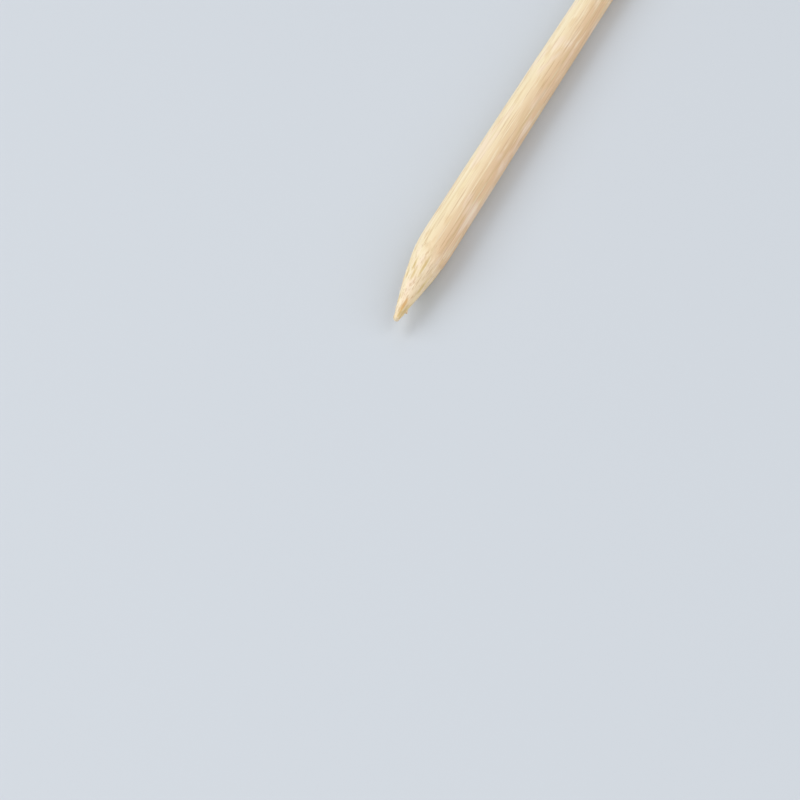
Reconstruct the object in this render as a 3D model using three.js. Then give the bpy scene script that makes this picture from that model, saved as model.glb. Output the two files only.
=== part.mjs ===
// Bamboo skewer: one stick of bamboo, planed round, sawn square at the butt and ground to a blunt point.
// It lies along +X, from the centre of its butt face at the origin to the point.
import * as THREE from "three";

// Stick, in millimetres
const stickLength = 300;
const stickDiameter = 5;
const bowHeight = 1.5;
const buttEdgeBreak = 0.25;

// Seams, where the upper and lower planing cutters meet along the stick's two sides
const seamStep = 0.1;
const seamWidth = 0.9;

// Ground point, whose tip lies off the stick's axis toward +Y: the flank there is short and straight,
// and the one across from it is long and swells outward between shoulder and tip
const shortFlankLength = 13.8;
const longFlankLength = 16.5;
const longFlankSwell = 0.26;
const tipOffset = 0.77;
const tipDiameter = 0.92;
const tipRounding = 0.74;

// Facets
const facetsAround = 48;
const shaftSteps = 18;
const flankSteps = 14;
const tipSteps = 4;

const stickRadius = stickDiameter / 2;
const tipRadius = tipDiameter / 2;
const { lerp, clamp } = THREE.MathUtils;

// Sideways place of the stick's centre line: a shallow arc that bows toward -Y in the middle.
function bowAt(x) {
  const share = x / stickLength;
  return -4 * bowHeight * share * (1 - share);
}

// A point on the planed section: two half-rounds, the upper one a little further toward +Y than the
// lower one, with the step between them worn down to a slope as wide as the seam.
function shaftPoint(x, radius, angle) {
  const height = radius * Math.sin(angle);
  const half = clamp(height / (seamWidth / 2), -1, 1);
  const across = radius * Math.cos(angle) + (half * seamStep) / 2;
  return new THREE.Vector3(x, bowAt(x) + across, height);
}

// A point on the rounded tip, from its rim (rise 0) to the end of the stick (rise 1).
function tipPoint(rise, angle) {
  const turn = (rise * Math.PI) / 2;
  const radius = tipRadius * Math.cos(turn);
  const x = stickLength - tipRounding * (1 - Math.sin(turn));
  return new THREE.Vector3(x, tipOffset + radius * Math.cos(angle), radius * Math.sin(angle));
}

// A point on the ground flanks, from the shoulder (share 0) to the tip's rim (share 1). The shoulder
// is a slanted line round the stick, because each side is ground back by its own length.
function flankPoint(share, angle) {
  const shortness = (1 + Math.cos(angle)) / 2;
  const flankLength = lerp(longFlankLength, shortFlankLength, shortness);
  const swell = 4 * share * (1 - share) * longFlankSwell * (1 - shortness);
  const shoulder = shaftPoint(stickLength - flankLength, stickRadius, angle);
  const point = shoulder.lerp(tipPoint(0, angle), share);
  point.y += swell * Math.cos(angle);
  point.z += swell * Math.sin(angle);
  return point;
}

// A point on the straight part, from the end of the broken butt edge (share 0) to the shoulder.
function barrelPoint(share, angle) {
  const shoulder = flankPoint(0, angle).x;
  return shaftPoint(lerp(buttEdgeBreak, shoulder, share), stickRadius, angle);
}

// One ring of points round the stick.
function ring(pointAt) {
  return Array.from({ length: facetsAround }, (_, i) => pointAt((2 * Math.PI * i) / facetsAround));
}

// Evenly stepped rings of one stretch, without the ring at share 0 that the stretch before it ends in.
function rings(steps, pointAt) {
  return Array.from({ length: steps }, (_, i) => ring((angle) => pointAt((i + 1) / steps, angle)));
}

// A closed skin over a row of rings, with a fan of triangles from a centre point at either end.
function loft(startCentre, sections, endCentre) {
  const points = [startCentre, ...sections.flat(), endCentre];
  const last = points.length - 1;
  const at = (section, i) => 1 + section * facetsAround + (i % facetsAround);
  const faces = [];
  for (let i = 0; i < facetsAround; i++) {
    faces.push(0, at(0, i + 1), at(0, i));
    for (let s = 0; s < sections.length - 1; s++) {
      faces.push(at(s, i), at(s, i + 1), at(s + 1, i + 1));
      faces.push(at(s, i), at(s + 1, i + 1), at(s + 1, i));
    }
    faces.push(at(sections.length - 1, i), at(sections.length - 1, i + 1), last);
  }
  const geometry = new THREE.BufferGeometry().setFromPoints(points);
  geometry.setIndex(faces);
  geometry.computeVertexNormals();
  return geometry;
}

// The whole stick, from the sawn butt along the shaft and the ground flanks to the rounded tip.
function skewerGeometry() {
  const buttCentre = new THREE.Vector3(0, 0, 0);
  const tipEnd = tipPoint(1, 0);
  const sections = [
    ring((angle) => shaftPoint(0, stickRadius - buttEdgeBreak, angle)),
    ring((angle) => barrelPoint(0, angle)),
    ...rings(shaftSteps, barrelPoint),
    ...rings(flankSteps, flankPoint),
    ...rings(tipSteps, tipPoint).slice(0, -1),
  ];
  return loft(buttCentre, sections, tipEnd);
}

const bamboo = new THREE.MeshStandardMaterial({ color: 0xeddbb9, roughness: 0.6, metalness: 0 });

const skewer = new THREE.Mesh(skewerGeometry(), bamboo);
skewer.name = "skewer";

const bambooSkewer = new THREE.Group();
bambooSkewer.add(skewer);

export default bambooSkewer;
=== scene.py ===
import math

import bpy
import numpy as np
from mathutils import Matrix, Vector


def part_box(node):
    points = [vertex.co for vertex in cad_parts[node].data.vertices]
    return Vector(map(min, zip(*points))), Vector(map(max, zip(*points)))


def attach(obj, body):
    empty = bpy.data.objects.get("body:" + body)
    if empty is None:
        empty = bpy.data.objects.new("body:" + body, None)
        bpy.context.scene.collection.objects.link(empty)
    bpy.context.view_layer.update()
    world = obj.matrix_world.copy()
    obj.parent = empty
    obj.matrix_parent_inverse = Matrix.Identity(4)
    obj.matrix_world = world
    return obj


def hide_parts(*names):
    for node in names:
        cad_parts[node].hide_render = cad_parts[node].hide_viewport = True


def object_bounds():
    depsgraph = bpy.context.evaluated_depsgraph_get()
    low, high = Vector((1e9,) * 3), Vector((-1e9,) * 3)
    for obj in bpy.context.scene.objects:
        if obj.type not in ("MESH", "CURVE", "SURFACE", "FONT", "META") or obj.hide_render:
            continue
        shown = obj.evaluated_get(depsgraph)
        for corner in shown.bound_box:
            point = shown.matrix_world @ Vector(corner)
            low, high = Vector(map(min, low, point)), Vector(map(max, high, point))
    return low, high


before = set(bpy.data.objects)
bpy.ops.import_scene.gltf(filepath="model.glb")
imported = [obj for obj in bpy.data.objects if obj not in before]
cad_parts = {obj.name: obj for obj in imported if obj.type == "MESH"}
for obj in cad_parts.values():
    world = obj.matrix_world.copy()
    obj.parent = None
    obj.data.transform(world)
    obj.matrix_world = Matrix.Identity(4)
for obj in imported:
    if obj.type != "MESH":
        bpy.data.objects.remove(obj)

cad_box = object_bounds()
scene = bpy.context.scene

# Viewpoint
# The eye is beyond the point of the stick and to one side of it, close by and looking down, with a
# long lens. The stick comes into the picture from its top edge, point first.
MM = 0.001
view_distance = 257.3 * MM
view_azimuth = math.radians(112.05)
view_elevation = math.radians(39.8)
view_centre = Vector((314.36, 7.25, 0.0)) * MM
lens_length = 96.1
sensor_width = 36.0

towards_eye = Vector((
    math.sin(view_azimuth) * math.cos(view_elevation),
    -math.cos(view_azimuth) * math.cos(view_elevation),
    math.sin(view_elevation),
))
camera = bpy.data.objects.new("camera", bpy.data.cameras.new("camera"))
camera.data.lens = lens_length
camera.data.sensor_width = sensor_width
camera.data.clip_start = 0.01
camera.data.clip_end = 20.0
camera.location = view_centre + towards_eye * view_distance
camera.rotation_mode = "QUATERNION"
camera.rotation_quaternion = (-towards_eye).to_track_quat("-Z", "Y")
scene.collection.objects.link(camera)
scene.camera = camera

# Stick
# One length of bamboo, planed round between an upper and a lower cutter, tumbled smooth, sawn square
# at the butt and ground to a point against a soft belt. Its form is the solid's, in finer steps and
# with a worn, slightly ragged shoulder.
stick_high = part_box("skewer")[1]
stick_length = stick_high.x
stick_radius = stick_high.z
bow_height = 1.5 * MM
seam_step = 0.1 * MM
seam_width = 0.9 * MM
butt_edge = 0.25 * MM
short_flank = 13.8 * MM
long_flank = 16.5 * MM
long_flank_swell = 0.26 * MM
tip_offset = 0.77 * MM
tip_radius = 0.46 * MM
tip_rounding = 0.74 * MM
shoulder_wear = 0.07 * MM
shoulder_reach = 2.4 * MM
shoulder_raggedness = 0.1 * MM

# how finely the skin is stepped, round the stick and along each stretch of it
around = 192
face_rings = 24
edge_rings = 4
shaft_rings = 250
flank_rings = 130
tip_rings = 14

# the angle of each point round a ring, from +Y, and 0 to 1 from the long flank to the short one
turn = np.arange(around) * 2 * math.pi / around
side = (1 + np.cos(turn)) / 2
# the belt leaves some fibres of the shoulder a little longer than their neighbours
waves = np.sin(5 * turn + 2.4) + 1.5 * np.sin(13 * turn + 1.3) + np.sin(29 * turn)
ragged = shoulder_raggedness * waves


def mix(start, end, share):
    return start + (end - start) * share


def shaft_ring(x, radius):
    """The planed section at station x: two half-rounds, set off sideways at the seams."""
    height = radius * np.sin(turn)
    half = np.clip(height / (seam_width / 2), -1, 1)
    bow = -4 * bow_height * (x / stick_length) * (1 - x / stick_length)
    across = bow + radius * np.cos(turn) + half * seam_step / 2
    return np.stack([x + 0 * turn, across, height], axis=1)


def tip_ring(rise):
    """The rounded end: its rim at rise 0, the end of the stick at rise 1."""
    radius = tip_radius * math.cos(rise * math.pi / 2)
    x = stick_length - tip_rounding * (1 - math.sin(rise * math.pi / 2))
    across = tip_offset + radius * np.cos(turn)
    return np.stack([x + 0 * turn, across, radius * np.sin(turn)], axis=1)


def worn(away):
    """How much the tumbling has rounded off the shoulder, at this distance from it."""
    return shoulder_wear * np.clip(1 - away / shoulder_reach, 0, 1) ** 2


def flank_ring(share):
    """The ground flanks: the slanted shoulder line at share 0, the rim of the tip at share 1."""
    length = mix(long_flank, short_flank, side) + ragged
    swell = 4 * share * (1 - share) * long_flank_swell * (1 - side)
    out = swell - worn(share * length)
    points = mix(shaft_ring(stick_length - length, stick_radius), tip_ring(0), share)
    points[:, 1] += out * np.cos(turn)
    points[:, 2] += out * np.sin(turn)
    return points


def stick_rings():
    """All rings from the middle of the butt face to the tip, and how far each is ground or sawn."""
    for i in range(1, face_rings + 1):
        yield shaft_ring(0.0, (stick_radius - butt_edge) * i / face_rings), 0.0, 1.0
    for i in range(1, edge_rings + 1):
        bend = i / edge_rings * math.pi / 2
        inset = butt_edge * (1 - math.sin(bend))
        yield shaft_ring(butt_edge * (1 - math.cos(bend)), stick_radius - inset), 0.0, 0.0
    shoulder = flank_ring(0.0)[:, 0]
    for i in range(1, shaft_rings + 1):
        x = mix(butt_edge, shoulder, i / shaft_rings)
        yield shaft_ring(x, stick_radius - worn(shoulder - x)), 0.0, 0.0
    for i in range(1, flank_rings + 1):
        yield flank_ring(i / flank_rings), i / flank_rings, 0.0
    for i in range(1, tip_rings):
        yield tip_ring(i / tip_rings), 1.0, 0.0


def stick_mesh():
    """A closed skin over the rings, with a fan of triangles at either end."""
    rings, ground, sawn = zip(*stick_rings())
    butt_centre = np.zeros((1, 3))
    tip_end = np.array([[stick_length, tip_offset, 0.0]])
    points = np.concatenate([butt_centre, *rings, tip_end])
    last = len(points) - 1
    last_ring = last - around
    faces = []
    for i in range(around):
        j = (i + 1) % around
        faces.append((0, 1 + j, 1 + i))
        for ring in range(len(rings) - 1):
            low, high = 1 + ring * around, 1 + (ring + 1) * around
            faces.append((low + i, low + j, high + j, high + i))
        faces.append((last_ring + i, last_ring + j, last))
    mesh = bpy.data.meshes.new("skewer_stick")
    mesh.from_pydata(points.tolist(), [], faces)
    for name, values, at_butt, at_tip in (("ground", ground, 0, 1), ("sawn", sawn, 1, 0)):
        layer = mesh.attributes.new(name, "FLOAT", "POINT")
        spread = np.concatenate([[at_butt], np.repeat(values, around), [at_tip]])
        layer.data.foreach_set("value", spread.astype(np.float32))
    mesh.shade_smooth()
    return mesh


def linear(hex_colour):
    """An sRGB colour written as #RRGGBB, as the linear colour that a shader takes."""
    channels = [int(hex_colour[i:i + 2], 16) / 255 for i in (1, 3, 5)]
    light = [c / 12.92 if c <= 0.04045 else ((c + 0.055) / 1.055) ** 2.4 for c in channels]
    return (*light, 1.0)


def add(tree, kind, inputs=(), **settings):
    """Adds a node with its settings, sets or links its inputs, and gives its outputs."""
    node = tree.nodes.new(kind)
    for name, value in settings.items():
        setattr(node, name, value)
    for place, value in dict(inputs).items():
        if isinstance(value, bpy.types.NodeSocket):
            tree.links.new(value, node.inputs[place])
        else:
            node.inputs[place].default_value = value
    return node.outputs


# Bamboo grain: bundles of hard fibre round a few open vessels run the whole length in soft, pale
# pith. Real bundles in the middle of the culm wall are 0.3 to 0.5 mm thick and about 0.8 mm apart.
bundle_spacing = 0.8 * MM
bundle_wander = 0.5 * MM
wander_length = 60.0 * MM
wander_width = 5.0 * MM
bundle_disorder = 0.9


def wood_place(tree, place):
    """Places in the wood as it grew, straight: the bow came later, when the stick dried."""
    parts = add(tree, "ShaderNodeSeparateXYZ", {0: place})
    share = add(tree, "ShaderNodeMath", {0: parts[0], 1: 1 / stick_length}, operation="MULTIPLY")[0]
    slope = add(tree, "ShaderNodeMath", {0: share, 1: -4 * bow_height, 2: 4 * bow_height},
                operation="MULTIPLY_ADD")[0]
    across = add(tree, "ShaderNodeMath", {0: share, 1: slope, 2: parts[1]},
                 operation="MULTIPLY_ADD")[0]
    return add(tree, "ShaderNodeCombineXYZ", {0: parts[0], 1: across, 2: parts[2]})[0]


def bundles(tree, wood):
    """Cells round the bundles, the same all through the wood: they run along X and wander a little."""
    slow = add(tree, "ShaderNodeVectorMath",
               {0: wood, 1: (1 / wander_length, 1 / wander_width, 1 / wander_width)},
               operation="MULTIPLY")[0]
    wander = add(tree, "ShaderNodeTexNoise", {"Vector": slow, "Scale": 1.0, "Detail": 1.0})["Color"]
    moved = add(tree, "ShaderNodeVectorMath",
                {0: wander, 1: (0, bundle_wander, bundle_wander), 2: wood},
                operation="MULTIPLY_ADD")[0]
    parts = add(tree, "ShaderNodeSeparateXYZ", {0: moved})
    across = add(tree, "ShaderNodeCombineXYZ", {0: parts[1], 1: parts[2]})[0]
    return add(tree, "ShaderNodeTexVoronoi",
               {"Vector": across, "Scale": 1 / bundle_spacing, "Randomness": bundle_disorder},
               voronoi_dimensions="2D")


def streaks(tree, wood, length, width, low, high, detail=2.0):
    """Streaks about this long and wide along the fibres: 0 to 1 as the noise goes low to high."""
    scaled = add(tree, "ShaderNodeVectorMath", {0: wood, 1: (1 / length, 1 / width, 1 / width)},
                 operation="MULTIPLY")[0]
    noise = add(tree, "ShaderNodeTexNoise", {"Vector": scaled, "Scale": 1.0, "Detail": detail})["Fac"]
    return add(tree, "ShaderNodeMapRange", {"Value": noise, "From Min": low, "From Max": high},
               interpolation_type="SMOOTHSTEP")["Result"]


def relief_tree():
    """Stands the hard bundles proud, opens the cut vessels, tears the ground point, wears the tip."""
    tree = bpy.data.node_groups.new("bamboo_relief", "GeometryNodeTree")
    tree.interface.new_socket("Stick", in_out="INPUT", socket_type="NodeSocketGeometry")
    for name, value in (("Bundle Height", 0.008 * MM), ("Vessel Depth", 0.03 * MM),
                        ("Grain Depth", 0.012 * MM), ("Chatter Height", 0.02 * MM),
                        ("Tear Depth", 0.05 * MM), ("Belt Waves", 0.07 * MM),
                        ("Tip Wear", 0.1 * MM)):
        socket = tree.interface.new_socket(name, in_out="INPUT", socket_type="NodeSocketFloat")
        socket.default_value = value
    tree.interface.new_socket("Bamboo", in_out="INPUT", socket_type="NodeSocketMaterial")
    tree.interface.new_socket("Stick", in_out="OUTPUT", socket_type="NodeSocketGeometry")
    given = add(tree, "NodeGroupInput")
    wood = wood_place(tree, add(tree, "GeometryNodeInputPosition")[0])
    normal = add(tree, "GeometryNodeInputNormal")[0]
    share = add(tree, "GeometryNodeInputNamedAttribute", {"Name": "ground"}, data_type="FLOAT")[0]
    distance = bundles(tree, wood)["Distance"]
    eased = {}
    for name, value, low, high in (
            ("ground", share, 0.0, 0.06), ("tip", share, 0.75, 1.0),
            ("bundle", distance, 0.3, 0.12), ("vessel", distance, 0.12, 0.05)):
        eased[name] = add(tree, "ShaderNodeMapRange",
                          {"Value": value, "From Min": low, "From Max": high},
                          interpolation_type="SMOOTHSTEP")["Result"]
    grain = streaks(tree, wood, 9 * MM, 0.2 * MM, 0.3, 0.7)
    chatter = streaks(tree, wood, 14 * MM, 1.6 * MM, 0.3, 0.7)
    tears = streaks(tree, wood, 3.2 * MM, 0.3 * MM, 0.25, 0.75)
    belt_waves = streaks(tree, wood, 3.6 * MM, 1.1 * MM, 0.3, 0.7)
    dents = streaks(tree, wood, 0.7 * MM, 0.6 * MM, 0.25, 0.75)
    # each pattern, the value at which it leaves the surface alone, its height, and where it shows
    layers = (
        (eased["bundle"], 0.0, given["Bundle Height"], 1.0),
        (eased["vessel"], 0.0, given["Vessel Depth"], -1.0),
        (grain, 0.5, given["Grain Depth"], 1.0),
        (chatter, 0.5, given["Chatter Height"], 1.0),
        (tears, 0.7, given["Tear Depth"], eased["ground"]),
        (belt_waves, 0.6, given["Belt Waves"], eased["ground"]),
        (dents, 0.4, given["Tip Wear"], eased["tip"]),
    )
    height = 0.0
    for pattern, level, size, where in layers:
        centred = add(tree, "ShaderNodeMath", {0: pattern, 1: level}, operation="SUBTRACT")[0]
        depth = add(tree, "ShaderNodeMath", {0: size, 1: where}, operation="MULTIPLY")[0]
        height = add(tree, "ShaderNodeMath", {0: centred, 1: depth, 2: height},
                     operation="MULTIPLY_ADD")[0]
    offset = add(tree, "ShaderNodeVectorMath", {0: normal, "Scale": height}, operation="SCALE")[0]
    moved = add(tree, "GeometryNodeSetPosition", {"Geometry": given["Stick"], "Offset": offset})[0]
    real = add(tree, "GeometryNodeRealizeInstances", {0: moved})[0]
    dressed = add(tree, "GeometryNodeSetMaterial", {"Geometry": real, "Material": given["Bamboo"]})[0]
    add(tree, "NodeGroupOutput", {0: dressed})
    return tree


def made_plain(host, tree, values, name):
    """Runs the tree on the host, with its inputs set by name, and keeps the result as a plain mesh."""
    modifier = host.modifiers.new(name, "NODES")
    modifier.node_group = tree
    for item in tree.interface.items_tree:
        if item.in_out == "INPUT" and item.name in values:
            modifier[item.identifier] = values[item.name]
    evaluated = host.evaluated_get(bpy.context.evaluated_depsgraph_get())
    mesh = bpy.data.meshes.new_from_object(evaluated)
    mesh.name = name
    plain = bpy.data.objects.new(name, mesh)
    scene.collection.objects.link(plain)
    bpy.data.objects.remove(host)
    return plain


# Planed bamboo, bare: pale straw to cream wood with a silky, not glossy, face. The bundles are
# yellower than the pith, their vessels brown, and the ground point cuts them into short dashes.
# One thick bundle, stained brown, comes to the surface just behind the tip.
brown_bundle = (0.0, 0.98 * MM, 0.7 * MM)
brown_bundle_radius = 0.17 * MM
pith_colour = "#F3E3BE"
planed_roughness = 0.5
ground_roughness = 0.66
streak_roughness = 0.1
groove_depth = 0.02 * MM
bamboo_ior = 1.5


def bamboo_material():
    """Bare bamboo, coloured in thin layers over the pith, all through the wood, with painted warm shade
    on the side away from the key lamp.
    """
    material = bpy.data.materials.new("planed_bamboo")
    material.use_nodes = True
    tree = material.node_tree
    surface = tree.nodes["Principled BSDF"]
    wood = wood_place(tree, add(tree, "ShaderNodeTexCoord")["Object"])
    share = add(tree, "ShaderNodeAttribute", attribute_name="ground")["Fac"]
    sawn = add(tree, "ShaderNodeAttribute", attribute_name="sawn")["Fac"]
    cells = bundles(tree, wood)
    strength = add(tree, "ShaderNodeSeparateColor", {0: cells["Color"]})[0]
    across = add(tree, "ShaderNodeVectorMath", {0: wood, 1: (0, 1, 1)}, operation="MULTIPLY")[0]
    aside = add(tree, "ShaderNodeVectorMath", {0: across, 1: brown_bundle},
                operation="DISTANCE")["Value"]
    sideways = add(tree, "ShaderNodeSeparateXYZ", {0: wood})[1]
    eased = {}
    for name, value, low, high in (
            ("ground", share, 0.0, 0.3), ("tip", share, 0.55, 0.8),
            # painted warm shade: a mask that rises across the stick towards +Y, the side away from the
            # key lamp
            ("painted_warm_shade", sideways, -0.8 * MM, 2.6 * MM), ("strong", strength, 0.2, 0.9),
            ("bundle", cells["Distance"], 0.32, 0.1), ("vessel", cells["Distance"], 0.12, 0.04),
            ("brown", aside, 1.3 * brown_bundle_radius, 0.6 * brown_bundle_radius)):
        eased[name] = add(tree, "ShaderNodeMapRange",
                          {"Value": value, "From Min": low, "From Max": high},
                          interpolation_type="SMOOTHSTEP")["Result"]
    fine = streaks(tree, wood, 10 * MM, 0.2 * MM, 0.3, 0.7, detail=3.0)
    straw_bands = streaks(tree, wood, 30 * MM, 1.0 * MM, 0.5, 0.7)
    rosy_patches = streaks(tree, wood, 9 * MM, 1.8 * MM, 0.52, 0.66)
    tan_patches = streaks(tree, wood, 6 * MM, 1.1 * MM, 0.52, 0.68)
    dark_lines = streaks(tree, wood, 12 * MM, 0.17 * MM, 0.55, 0.67, detail=3.0)
    pale_lines = streaks(tree, wood, 9 * MM, 0.22 * MM, 0.46, 0.34, detail=3.0)
    cut_fibres = streaks(tree, wood, 3 * MM, 0.2 * MM, 0.56, 0.7, detail=3.0)
    # each layer's colour, how strongly it covers, its pattern, and where it shows
    layers = (
        # painted warm shade: a pinker tan over the +Y side, away from the key lamp, standing in for warm
        # bounce light in the shade
        ("#E7C299", 1.0, eased["painted_warm_shade"], 1.0),
        ("#F6E9CC", 0.45, eased["ground"], 1.0),
        ("#EFD9A2", 0.4, straw_bands, 1.0),
        ("#F6DFCC", 0.5, rosy_patches, 1.0),
        ("#E3C596", 0.5, tan_patches, 1.0),
        ("#C59D6C", 0.5, dark_lines, 1.0),
        ("#FFF2D8", 0.5, pale_lines, 1.0),
        ("#CBA768", 0.32, cut_fibres, eased["ground"]),
        ("#CDAF78", 0.3, eased["bundle"], eased["strong"]),
        ("#D3B874", 0.6, eased["bundle"], eased["ground"]),
        ("#C0965C", 0.6, eased["bundle"], sawn),
        ("#8A6236", 0.6, eased["vessel"], sawn),
        ("#B98A4E", 0.3, eased["vessel"], eased["strong"]),
        ("#D49F58", 0.7, eased["brown"], eased["tip"]),
    )
    colour = linear(pith_colour)
    for tint, cover, pattern, where in layers:
        amount = add(tree, "ShaderNodeMath", {0: pattern, 1: where}, operation="MULTIPLY")[0]
        amount = add(tree, "ShaderNodeMath", {0: amount, 1: cover}, operation="MULTIPLY")[0]
        colour = add(tree, "ShaderNodeMix", {0: amount, 6: colour, 7: linear(tint)},
                     data_type="RGBA")[2]
    rough = add(tree, "ShaderNodeMath",
                {0: eased["ground"], 1: ground_roughness - planed_roughness, 2: planed_roughness},
                operation="MULTIPLY_ADD")[0]
    rough = add(tree, "ShaderNodeMath", {0: fine, 1: streak_roughness, 2: rough},
                operation="MULTIPLY_ADD")[0]
    bump = add(tree, "ShaderNodeBump",
               {"Height": fine, "Strength": 0.3, "Distance": groove_depth})[0]
    for name, value in (("Base Color", colour), ("Roughness", rough), ("Normal", bump)):
        tree.links.new(value, surface.inputs[name])
    surface.inputs["IOR"].default_value = bamboo_ior
    return material


bamboo = bamboo_material()
blank = bpy.data.objects.new("stick_blank", stick_mesh())
scene.collection.objects.link(blank)
stick = made_plain(blank, relief_tree(), {"Bamboo": bamboo}, "skewer_stick")
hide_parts("skewer")
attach(stick, "root")

# Torn fibres
# Grinding across the end grain and sawing the butt leave single fibres standing: hair-fine slivers
# that still hang on by their root, lean along the stick and lift a little off its surface.
# One thicker burr stays on the short flank just behind the tip.
burr_behind_tip = 2.7 * MM
burr_turn = math.radians(-33)
burr_lean = 0.15
burr_way = Vector((burr_lean, math.cos(burr_turn), math.sin(burr_turn)))
burr_sunk = 0.09 * MM
burr_flank = mix(long_flank, short_flank, (1 + math.cos(burr_turn)) / 2)
burr_share = (burr_flank - burr_behind_tip) / (burr_flank - tip_rounding)
burr_out = mix(stick_radius, tip_radius, burr_share) - burr_sunk
burr_middle = Vector((stick_length - burr_behind_tip, tip_offset * burr_share, 0.0))
burr_place = burr_middle + burr_way * burr_out
# below this height nothing is strewn
underside = -1.7 * MM
# how far a sliver's end curls over, as a share of its thickness, and its root's depth, of its length
sliver_curl = 0.22
sliver_root = 0.08


def fibre_tree():
    """Strews slivers on the ground point and the rim of the butt, not underneath; sets the burr."""
    tree = bpy.data.node_groups.new("torn_fibres", "GeometryNodeTree")
    tree.interface.new_socket("Stick", in_out="INPUT", socket_type="NodeSocketGeometry")
    for name, kind, value in (
            ("Fibres Per Square Metre", "Float", 1.1e6), ("Fibre Length", "Float", 0.5 * MM),
            ("Fibre Thickness", "Float", 0.028 * MM), ("Burr Length", "Float", 0.32 * MM),
            ("Burr Thickness", "Float", 0.66 * MM), ("Burr Place", "Vector", (0, 0, 0)),
            ("Burr Way", "Vector", (0, 0, 1))):
        socket = tree.interface.new_socket(name, in_out="INPUT", socket_type="NodeSocket" + kind)
        socket.default_value = value
    tree.interface.new_socket("Bamboo", in_out="INPUT", socket_type="NodeSocketMaterial")
    tree.interface.new_socket("Fibres", in_out="OUTPUT", socket_type="NodeSocketGeometry")
    given = add(tree, "NodeGroupInput")
    place = add(tree, "GeometryNodeInputPosition")[0]
    height = add(tree, "ShaderNodeSeparateXYZ", {0: place})[2]
    share = add(tree, "GeometryNodeInputNamedAttribute", {"Name": "ground"}, data_type="FLOAT")[0]
    sawn = add(tree, "GeometryNodeInputNamedAttribute", {"Name": "sawn"}, data_type="FLOAT")[0]
    # the flanks and the rim are where these two lie between 0 and 1
    on_point = add(tree, "ShaderNodeMath", {0: share, 1: 0.5, 2: 0.49}, operation="COMPARE")[0]
    on_rim = add(tree, "ShaderNodeMath", {0: sawn, 1: 0.5, 2: 0.45}, operation="COMPARE")[0]
    density = add(tree, "ShaderNodeMath", {0: on_point, 1: on_rim}, operation="MAXIMUM")[0]
    above = add(tree, "ShaderNodeMath", {0: height, 1: underside}, operation="GREATER_THAN")[0]
    tufts = streaks(tree, place, 2.5 * MM, 0.7 * MM, 0.42, 0.62)
    for factor in (above, tufts, given["Fibres Per Square Metre"]):
        density = add(tree, "ShaderNodeMath", {0: density, 1: factor}, operation="MULTIPLY")[0]
    roots = add(tree, "GeometryNodeDistributePointsOnFaces",
                {"Mesh": given["Stick"], "Density": density, "Seed": 4})

    # slivers lean towards the tip on the point, and out past the butt on its rim
    lift = add(tree, "FunctionNodeRandomValue", {2: 0.12, 3: 0.6, "Seed": 5}, data_type="FLOAT")[1]
    lifted = add(tree, "ShaderNodeVectorMath", {0: roots["Normal"], "Scale": lift}, operation="SCALE")[0]
    forward = add(tree, "ShaderNodeMath", {0: on_rim, 1: -1.6, 2: 1.0}, operation="MULTIPLY_ADD")[0]
    stray = add(tree, "FunctionNodeRandomValue", {0: (-0.25,) * 3, 1: (0.25,) * 3, "Seed": 6},
                data_type="FLOAT_VECTOR")[0]
    fibre_way = add(tree, "ShaderNodeCombineXYZ", {0: forward})[0]
    for part in (lifted, stray):
        fibre_way = add(tree, "ShaderNodeVectorMath", {0: fibre_way, 1: part}, operation="ADD")[0]
    spread = add(tree, "FunctionNodeRandomValue", {2: 0.35, 3: 1.4, "Seed": 7}, data_type="FLOAT")[1]
    fibre_length = add(tree, "ShaderNodeMath", {0: spread, 1: given["Fibre Length"]},
                       operation="MULTIPLY")[0]
    burr = add(tree, "GeometryNodePoints", {"Count": 1, "Position": given["Burr Place"]})[0]
    strewn = []
    for points, way, thickness, length in (
            (roots["Points"], fibre_way, given["Fibre Thickness"], fibre_length),
            (burr, given["Burr Way"], given["Burr Thickness"], given["Burr Length"])):
        size = add(tree, "ShaderNodeCombineXYZ", {0: thickness, 1: thickness, 2: length})[0]
        for name, value in (("way", way), ("size", size)):
            points = add(tree, "GeometryNodeStoreNamedAttribute",
                         {"Geometry": points, "Name": name, "Value": value},
                         data_type="FLOAT_VECTOR")[0]
        strewn.append(points)
    joined = tree.nodes.new("GeometryNodeJoinGeometry")
    for points in strewn:
        tree.links.new(points, joined.inputs[0])

    # one sliver, a unit long and thick: it tapers, curls over and is set into the wood by its root
    sliver = add(tree, "GeometryNodeMeshCone",
                 {"Vertices": 6, "Side Segments": 4, "Radius Top": 0.15, "Radius Bottom": 0.5,
                  "Depth": 1.0})["Mesh"]
    lean = add(tree, "ShaderNodeMath", {0: height, 1: sliver_curl}, operation="MULTIPLY")[0]
    curl = add(tree, "ShaderNodeMath", {0: height, 1: lean}, operation="MULTIPLY")[0]
    bend = add(tree, "ShaderNodeCombineXYZ", {0: curl, 2: -sliver_root})[0]
    sliver = add(tree, "GeometryNodeSetPosition", {"Geometry": sliver, "Offset": bend})[0]
    stored = {}
    for name in ("way", "size"):
        stored[name] = add(tree, "GeometryNodeInputNamedAttribute", {"Name": name},
                           data_type="FLOAT_VECTOR")[0]
    turned = add(tree, "FunctionNodeAlignRotationToVector", {"Vector": stored["way"]}, axis="Z")[0]
    set_out = add(tree, "GeometryNodeInstanceOnPoints",
                  {"Points": joined.outputs[0], "Instance": sliver, "Rotation": turned,
                   "Scale": stored["size"]})[0]
    smooth = add(tree, "GeometryNodeSetShadeSmooth", {"Geometry": set_out})[0]
    real = add(tree, "GeometryNodeRealizeInstances", {0: smooth})[0]
    dressed = add(tree, "GeometryNodeSetMaterial", {"Geometry": real, "Material": given["Bamboo"]})[0]
    add(tree, "NodeGroupOutput", {0: dressed})
    return tree


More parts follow.
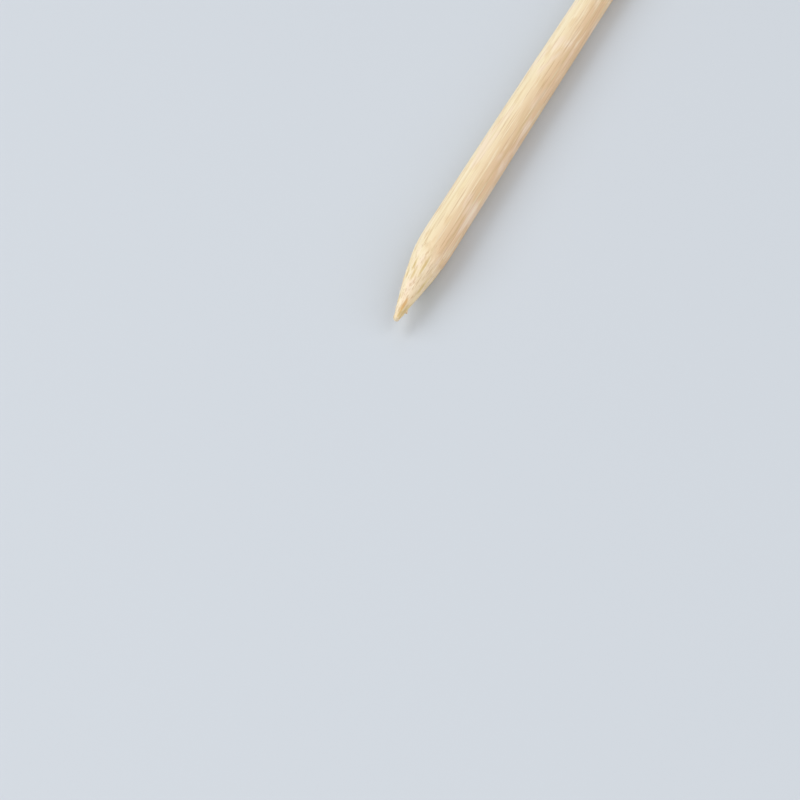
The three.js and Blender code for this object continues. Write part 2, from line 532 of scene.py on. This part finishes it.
fibre_host = bpy.data.objects.new("fibre_host", stick.data.copy())
scene.collection.objects.link(fibre_host)
fibre_values = {"Burr Place": burr_place, "Burr Way": burr_way, "Bamboo": bamboo}
fibres = made_plain(fibre_host, fibre_tree(), fibre_values, "torn_fibres")
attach(fibres, "root")

# Floor
# A plain pale table top of smooth laminate, just under the stick, which lies loose on it. Well away
# from the stick it fades into an even backdrop of much the same colour.
floor_gap = 0.03 * MM
floor_level = cad_box[0][2] - floor_gap
floor_half = 20.0
fade_start = 0.3
fade_end = 0.8
laminate_colour = linear("#CDD3DA")
laminate_roughness = 0.4
backdrop_colour = linear("#D3D9E0")


def seen(tree):
    """1 for rays that show the backdrop, straight or in a shiny or clear face, and 0 for the rest."""
    path = add(tree, "ShaderNodeLightPath")
    either = add(tree, "ShaderNodeMath", {0: path["Is Camera Ray"], 1: path["Is Glossy Ray"]},
                 operation="MAXIMUM")[0]
    return add(tree, "ShaderNodeMath", {0: either, 1: path["Is Transmission Ray"]},
               operation="MAXIMUM")[0]


def laminate_material():
    """Smooth pale laminate, which gives way to the even backdrop between the two fade distances."""
    material = bpy.data.materials.new("pale_laminate")
    material.use_nodes = True
    tree = material.node_tree
    surface = tree.nodes["Principled BSDF"]
    surface.inputs["Base Color"].default_value = laminate_colour
    surface.inputs["Roughness"].default_value = laminate_roughness
    place = add(tree, "ShaderNodeTexCoord")["Object"]
    away = add(tree, "ShaderNodeVectorMath", {0: place, 1: (stick_length / 2, 0, floor_level)},
               operation="DISTANCE")["Value"]
    faded = add(tree, "ShaderNodeMapRange",
                {"Value": away, "From Min": fade_start, "From Max": fade_end},
                interpolation_type="SMOOTHSTEP")["Result"]
    amount = add(tree, "ShaderNodeMath", {0: faded, 1: seen(tree)}, operation="MULTIPLY")[0]
    even = add(tree, "ShaderNodeEmission", {"Color": backdrop_colour, "Strength": 1.0})[0]
    mixed = add(tree, "ShaderNodeMixShader", {0: amount, 1: surface.outputs[0], 2: even})[0]
    tree.links.new(mixed, tree.nodes["Material Output"].inputs["Surface"])
    return material


corner_ways = ((-1, -1), (1, -1), (1, 1), (-1, 1))
corners = [(x * floor_half, y * floor_half, floor_level) for x, y in corner_ways]
floor_mesh = bpy.data.meshes.new("floor")
floor_mesh.from_pydata(corners, [], [(0, 1, 2, 3)])
floor_mesh.materials.append(laminate_material())
floor = bpy.data.objects.new("floor", floor_mesh)
scene.collection.objects.link(floor)

# Light
# Even, pale light from all round, with one large soft lamp on the long flank's side and a wider,
# weaker one across from it, so that the round of the stick still shows. To the eye itself, and in a
# shiny or clear face, the surroundings are the floor's even backdrop.
lamp_aim = Vector((0.2, 0.0, 0.0))
world_level = 0.52


def soft_lamp(name, place, width, watts):
    lamp = bpy.data.objects.new(name, bpy.data.lights.new(name, "AREA"))
    lamp.data.size = width
    lamp.data.energy = watts
    lamp.location = place
    lamp.rotation_mode = "QUATERNION"
    lamp.rotation_quaternion = (lamp_aim - place).to_track_quat("-Z", "Y")
    scene.collection.objects.link(lamp)


soft_lamp("key_lamp", place=Vector((0.55, -0.65, 0.75)), width=0.9, watts=6.2)
soft_lamp("fill_lamp", place=Vector((0.3, 0.9, 0.8)), width=1.2, watts=5.6)
world = bpy.data.worlds.new("studio")
scene.world = world
world.use_nodes = True
world_tree = world.node_tree
all_round = (world_level, world_level, world_level, 1.0)
shown = add(world_tree, "ShaderNodeMix", {0: seen(world_tree), 6: all_round, 7: backdrop_colour},
            data_type="RGBA")[2]
world_tree.links.new(shown, world_tree.nodes["Background"].inputs["Color"])
scene.view_settings.view_transform = "Standard"
